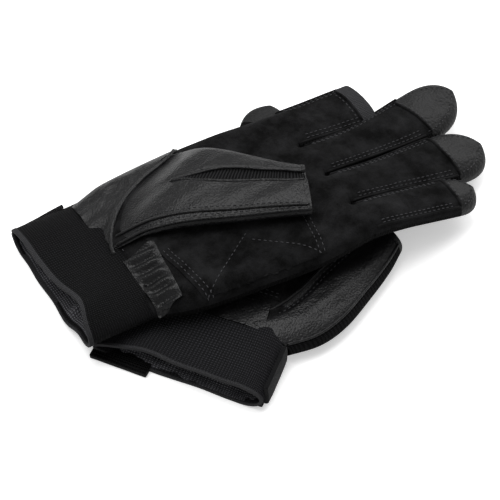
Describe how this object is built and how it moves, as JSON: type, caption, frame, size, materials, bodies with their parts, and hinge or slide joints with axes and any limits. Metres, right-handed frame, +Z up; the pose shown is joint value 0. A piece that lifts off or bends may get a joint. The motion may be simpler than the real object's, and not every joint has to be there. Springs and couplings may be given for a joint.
{
  "type": "sailing gloves",
  "caption": "Pair of leather sailing gloves lying palm up, one across the other, with short open thumb and index fingers, closed leather fingertips and elastic wrist cuffs.",
  "frame": {"origin": "middle of the pair's footprint, on the surface it lies on", "axes": "+X along the upper, left glove from cuff to fingertips, +Y to its thumb side, +Z up, palms up"},
  "size_m": [0.2494, 0.1808, 0.0501],
  "materials": {
    "suede": "black synthetic suede, matt nap",
    "smooth_leather": "black goatskin, fine grain, semi-gloss",
    "pebbled_leather": "black pebbled leather, semi-gloss",
    "elastic": "black ribbed woven elastic",
    "knit": "black ribbed stretch knit",
    "back_fabric": "black stretch mesh",
    "binding": "folded edge tape",
    "strap_fabric": "brushed loop webbing",
    "hook_tape": "moulded hook tape",
    "thread": "bonded polyester sewing thread"
  },
  "bodies": {
    "lower_glove": {"lower_back_panel": "back_fabric", "lower_palm_panel": "suede", "lower_side_strips": "knit", "lower_heel_panel": "smooth_leather", "lower_palm_patch": "suede", "lower_cuff_band": "elastic", "lower_cuff_hem": "binding", "lower_wrist_strap": "strap_fabric", "lower_hook_patch": "hook_tape", "lower_little_tip": "pebbled_leather", "lower_ring_tip": "pebbled_leather", "lower_middle_tip": "pebbled_leather", "lower_index_hem": "binding", "lower_finger_front": "suede", "lower_finger_back": "back_fabric", "lower_finger_sidewalls": "knit", "lower_thumb_gore": "smooth_leather"},
    "upper_glove": {"upper_back_panel": "back_fabric", "upper_palm_panel": "suede", "upper_side_strips": "knit", "upper_heel_panel": "smooth_leather", "upper_palm_patch": "suede", "upper_cuff_band": "elastic", "upper_cuff_hem": "binding", "upper_wrist_strap": "strap_fabric", "upper_hook_patch": "hook_tape", "upper_thumb_gore": "smooth_leather"},
    "upper_wrist_tab": {"upper_strap_tab": "strap_fabric"},
    "upper_thumb_body": {"upper_thumb_outer": "smooth_leather", "upper_thumb_knit_insert": "knit", "upper_thumb_inner": "smooth_leather", "upper_thumb_sidewalls": "knit", "upper_thumb_hem": "binding"},
    "upper_index_finger": {"upper_index_front": "suede", "upper_index_hem": "binding", "upper_index_back": "back_fabric", "upper_index_sidewalls": "knit"},
    "upper_middle_finger": {"upper_middle_front": "suede", "upper_middle_tip": "pebbled_leather", "upper_middle_back": "back_fabric", "upper_middle_sidewalls": "knit"},
    "upper_ring_finger": {"upper_ring_front": "suede", "upper_ring_tip": "pebbled_leather", "upper_ring_back": "back_fabric", "upper_ring_sidewalls": "knit"},
    "upper_little_finger": {"upper_little_front": "suede", "upper_little_tip": "pebbled_leather", "upper_little_back": "back_fabric", "upper_little_sidewalls": "knit"},
    "lower_wrist_tab": {"lower_strap_tab": "strap_fabric"},
    "lower_thumb_body": {"lower_thumb_outer": "smooth_leather", "lower_thumb_inner": "smooth_leather", "lower_thumb_knit_insert": "knit", "lower_thumb_sidewall": "knit", "lower_thumb_hem": "binding"}
  },
  "joints": [
    {"name": "upper_glove_lift", "type": "slide", "parent": "lower_glove", "child": "upper_glove", "axis": [0, 0, 1], "range_m": [0, 0.15]},
    {"name": "upper_index_curl", "type": "hinge", "parent": "upper_glove", "child": "upper_index_finger", "pos_m": [0.02495, 0.04518, 0.03419], "axis": [0, -0.9976, 0.0698], "range_deg": [0, 80]},
    {"name": "upper_middle_curl", "type": "hinge", "parent": "upper_glove", "child": "upper_middle_finger", "pos_m": [0.02495, 0.01565, 0.03625], "axis": [0, -0.9976, 0.0698], "range_deg": [0, 80]},
    {"name": "upper_ring_curl", "type": "hinge", "parent": "upper_glove", "child": "upper_ring_finger", "pos_m": [0.02495, -0.00969, 0.03802], "axis": [0, -0.9976, 0.0698], "range_deg": [0, 80]},
    {"name": "upper_little_curl", "type": "hinge", "parent": "upper_glove", "child": "upper_little_finger", "pos_m": [0.02495, -0.03263, 0.03963], "axis": [0, -0.9976, 0.0698], "range_deg": [0, 80]},
    {"name": "upper_thumb_lift", "type": "hinge", "parent": "upper_glove", "child": "upper_thumb_body", "pos_m": [-0.03928, 0.01013, 0.04432], "axis": [-0.4444, -0.8955, 0.0225], "range_deg": [0, 70]},
    {"name": "upper_tab_open", "type": "hinge", "parent": "upper_glove", "child": "upper_wrist_tab", "pos_m": [-0.12292, 0.0687, 0.00207], "axis": [-0.996, -0.0063, -0.0895], "range_deg": [0, 75]},
    {"name": "lower_thumb_swing", "type": "hinge", "parent": "lower_glove", "child": "lower_thumb_body", "pos_m": [-0.00481, -0.06347, 0], "axis": [0, 0, -1], "range_deg": [0, 25]},
    {"name": "lower_tab_open", "type": "hinge", "parent": "lower_glove", "child": "lower_wrist_tab", "pos_m": [-0.06388, -0.09148, 0], "axis": [0.809, 0.5878, 0], "range_deg": [0, 85]}
  ]
}
